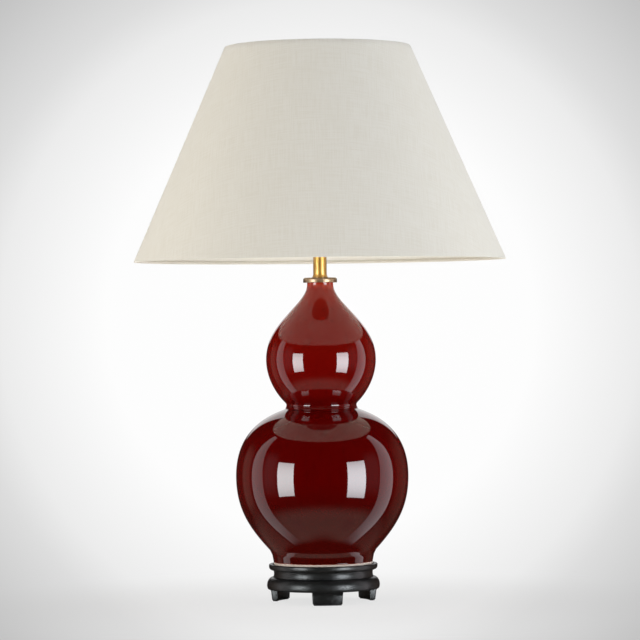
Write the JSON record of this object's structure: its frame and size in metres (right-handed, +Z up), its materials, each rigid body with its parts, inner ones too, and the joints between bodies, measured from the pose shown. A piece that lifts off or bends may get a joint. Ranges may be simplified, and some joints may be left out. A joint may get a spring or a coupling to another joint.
{
  "type": "table lamp",
  "caption": "Double gourd table lamp: glazed ceramic body on a turned wooden stand, brass stem and lampholder, lifting harp and tapered fabric shade.",
  "frame": {"origin": "on the lamp's vertical axis, at the table surface", "axes": "+Z up along the axis; -Y towards the viewer, where the front foot is"},
  "size_m": [0.56, 0.56, 0.8347],
  "materials": {
    "ebonised_wood": "satin black lacquer over turned hardwood",
    "felt": "pressed felt",
    "cork": "sawn cork",
    "oxblood_glaze": "thick glossy glaze",
    "polished_brass": "polished and lacquered",
    "zinc_steel": "bright zinc plate",
    "nickel_steel": "nickel plate",
    "black_plastic": "moulded",
    "porcelain": "glazed technical porcelain",
    "shell_brass": "pressed, unpolished",
    "ivory_fabric": "fine plain weave laminated to film",
    "white_lining": "matt white film",
    "white_wire": "white powder coat",
    "opal_plastic": "opal diffuser",
    "white_plastic": "moulded",
    "bulb_insulation": "black glass-like insulator",
    "solder": "dull solder"
  },
  "bodies": {
    "base": {"stand_deck": "ebonised_wood", "stand_apron": "ebonised_wood", "stand_foot_front": "ebonised_wood", "stand_foot_left": "ebonised_wood", "stand_foot_right": "ebonised_wood", "foot_pad_front": "felt", "foot_pad_left": "felt", "foot_pad_right": "felt", "foot_gasket": "cork", "gourd_body": "oxblood_glaze", "neck_bung": "cork", "vase_cap": "polished_brass", "stem_collar": "polished_brass", "stem_tube": "polished_brass", "threaded_rod": "zinc_steel", "base_washer": "zinc_steel", "lock_washer": "zinc_steel", "base_nut": "zinc_steel", "rod_bush": "black_plastic", "harp_saddle": "nickel_steel", "holder_cap": "polished_brass", "holder_barrel": "polished_brass", "holder_insulator": "porcelain", "screw_shell": "shell_brass", "centre_contact": "shell_brass", "terminal_screws": "shell_brass", "holder_skirt": "black_plastic", "holder_ring": "polished_brass"},
    "switch": {"switch_bar": "black_plastic"},
    "bulb_tip": {"bulb_contact": "solder"},
    "bulb": {"bulb_insulator": "bulb_insulation", "bulb_cap": "nickel_steel", "bulb_body": "white_plastic", "bulb_dome": "opal_plastic"},
    "harp": {"harp_frame": "nickel_steel"},
    "sleeve_left": {"harp_sleeve_left": "nickel_steel"},
    "sleeve_right": {"harp_sleeve_right": "nickel_steel"},
    "swivel": {"swivel_stud": "nickel_steel"},
    "shade": {"shade_cover": "ivory_fabric", "shade_lining": "white_lining", "top_ring": "white_wire", "bottom_ring": "white_wire", "top_hem": "ivory_fabric", "bottom_hem": "ivory_fabric", "spider": "white_wire"},
    "washer": {"finial_washer": "polished_brass"},
    "finial": {"finial": "polished_brass"}
  },
  "joints": [
    {"name": "switch_push", "type": "slide", "parent": "base", "child": "switch", "axis": [0, 1, 0], "range_m": [0, 0.006]},
    {"name": "bulb_rise", "type": "slide", "parent": "base", "child": "bulb_tip", "axis": [0, 0, 1], "range_m": [0, 0.0182]},
    {"name": "bulb_screw", "type": "hinge", "parent": "bulb_tip", "child": "bulb", "pos_m": [0, 0, 0.56], "axis": [0, 0, 1], "range_deg": [0, 1800]},
    {"name": "harp_lift", "type": "slide", "parent": "base", "child": "harp", "axis": [0, 0, 1], "range_m": [0, 0.02]},
    {"name": "sleeve_left_lift", "type": "slide", "parent": "harp", "child": "sleeve_left", "axis": [0, 0, 1], "range_m": [0, 0.014]},
    {"name": "sleeve_right_lift", "type": "slide", "parent": "harp", "child": "sleeve_right", "axis": [0, 0, 1], "range_m": [0, 0.014]},
    {"name": "shade_swivel", "type": "hinge", "parent": "harp", "child": "swivel", "pos_m": [0, 0, 0.8144], "axis": [0, 0, 1], "continuous": true},
    {"name": "shade_lift", "type": "slide", "parent": "swivel", "child": "shade", "axis": [0, 0, 1], "range_m": [0, 0.34]},
    {"name": "finial_rise", "type": "slide", "parent": "shade", "child": "washer", "axis": [0, 0, 1], "range_m": [0, 0.0067]},
    {"name": "finial_screw", "type": "hinge", "parent": "washer", "child": "finial", "pos_m": [0, 0, 0.825], "axis": [0, 0, 1], "range_deg": [0, 2520]}
  ],
  "couplings": [
    {"joint": "bulb_rise", "follows": "bulb_screw", "m_per_rad": 0.00057757},
    {"joint": "finial_rise", "follows": "finial_screw", "m_per_rad": 0.00014961}
  ]
}
